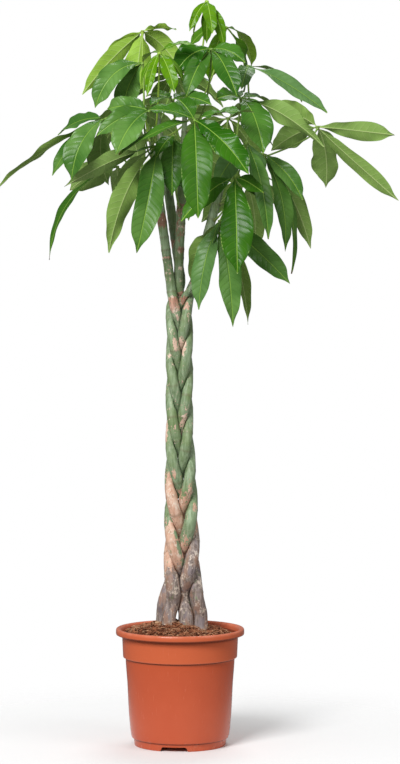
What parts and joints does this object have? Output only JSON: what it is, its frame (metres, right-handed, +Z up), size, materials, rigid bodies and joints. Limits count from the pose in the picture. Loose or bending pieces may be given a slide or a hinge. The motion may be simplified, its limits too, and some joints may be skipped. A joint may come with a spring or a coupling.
{
  "type": "potted money tree",
  "caption": "Potted money tree: slender stems plaited into one trunk, with palmate leaves in a wide crown, in a round plastic nursery pot with bark soil.",
  "frame": {"origin": "middle of the pot's underside, on the surface it stands on", "axes": "+Z up along the trunk, -Y towards the front, +X to the right seen from the front"},
  "size_m": [0.7505, 0.4722, 1.395],
  "materials": {
    "pot_plastic": "satin terracotta-orange moulded polypropylene",
    "bark_chips": "rough brown bark and coir chips",
    "stem_bark": "grey-green young bark with cream pores, browner low down",
    "leaf_green": "glossy green leaf, paler and matt underneath",
    "leaf_young": "soft yellow-green young leaf"
  },
  "bodies": {
    "root": {"pot": "pot_plastic", "soil": "bark_chips", "stem_back": "stem_bark", "stem_left": "stem_bark", "stem_far_left": "stem_bark", "stem_middle": "stem_bark", "stem_right": "stem_bark", "leaf_top_young": "leaf_young", "leaf_top_back": "leaf_green", "leaf_top_dark": "leaf_green", "leaf_centre_young": "leaf_young", "leaf_upper_left": "leaf_green", "leaf_left_glossy": "leaf_green", "leaf_far_left": "leaf_green", "leaf_left_hidden": "leaf_green", "leaf_centre_high": "leaf_green", "leaf_front_main": "leaf_green", "leaf_centre_dark": "leaf_green", "leaf_front_left": "leaf_green", "leaf_lower_left": "leaf_green", "leaf_right_grey": "leaf_green", "leaf_right_dark": "leaf_green", "leaf_far_right": "leaf_green", "leaf_upper_right": "leaf_green", "leaf_right_low": "leaf_green", "leaf_front_right": "leaf_green", "leaf_lowest": "leaf_green", "leaf_back_high": "leaf_green", "leaf_back_right": "leaf_green", "leaf_back_left": "leaf_green", "leaf_back_middle": "leaf_green", "leaf_back_low": "leaf_green"}
  },
  "joints": []
}
